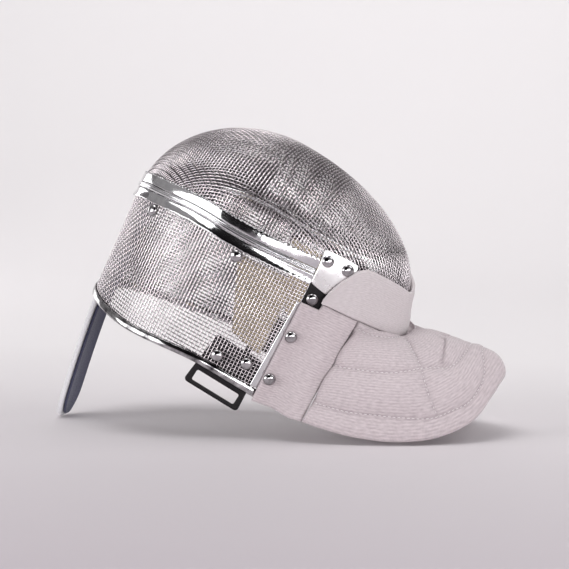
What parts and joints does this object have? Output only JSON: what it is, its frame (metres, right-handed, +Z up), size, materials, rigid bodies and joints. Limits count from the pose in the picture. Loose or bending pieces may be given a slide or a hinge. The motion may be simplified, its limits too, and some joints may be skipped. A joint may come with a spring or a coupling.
{
  "type": "fencing mask",
  "caption": "Sabre fencing mask with a domed wire face, wire crown, riveted steel trim, quilted cloth bib and back tongue, lying face up.",
  "frame": {"origin": "centre of the bounding box on the surface that the mask lies on", "axes": "+X towards the bib, from the crown; +Z up from the surface, as the mask lies face up in the picture; the mask is alike on both sides of the XZ plane"},
  "size_m": [0.4158, 0.2026, 0.2673],
  "materials": {
    "polished_steel": "polished",
    "wire_mesh_steel": "bright woven wire",
    "black_enamel": "satin black",
    "bib_cloth": "woven, quilted",
    "collar_cloth": "woven",
    "navy_cloth": "woven",
    "light_grey_cover": "smooth cover",
    "beige_pad": "brushed",
    "dark_pad": "brushed"
  },
  "bodies": {
    "root": {"bib_collar": "collar_cloth", "bib_flap": "bib_cloth", "bib_side_panel_left": "bib_cloth", "bib_side_panel_right": "bib_cloth", "cheek_pad_left": "beige_pad", "cheek_pad_right": "beige_pad", "crown_flange": "polished_steel", "crown_mesh": "wire_mesh_steel", "edge_strip_left": "polished_steel", "edge_strip_right": "polished_steel", "face_flange": "polished_steel", "face_mesh": "wire_mesh_steel", "forehead_pad": "dark_pad", "rim_channel": "polished_steel", "rivet_crown_left": "polished_steel", "rivet_crown_right": "polished_steel", "rivet_loop_front_left": "polished_steel", "rivet_loop_front_right": "polished_steel", "rivet_loop_rear_left": "polished_steel", "rivet_loop_rear_right": "polished_steel", "rivet_panel_lower_left": "polished_steel", "rivet_panel_lower_right": "polished_steel", "rivet_panel_upper_left": "polished_steel", "rivet_panel_upper_right": "polished_steel", "rivet_plate_front_left": "polished_steel", "rivet_plate_front_right": "polished_steel", "rivet_plate_rear_left": "polished_steel", "rivet_plate_rear_right": "polished_steel", "rivet_side_left": "polished_steel", "rivet_side_right": "polished_steel", "rivet_tab_left": "polished_steel", "rivet_tab_right": "polished_steel", "seam_ridge": "polished_steel", "side_plate_left": "polished_steel", "side_plate_right": "polished_steel", "side_tab_left": "black_enamel", "side_tab_right": "black_enamel", "strap_loop_left": "black_enamel", "strap_loop_right": "black_enamel", "tongue_back": "light_grey_cover", "tongue_face": "navy_cloth"}
  },
  "joints": []
}
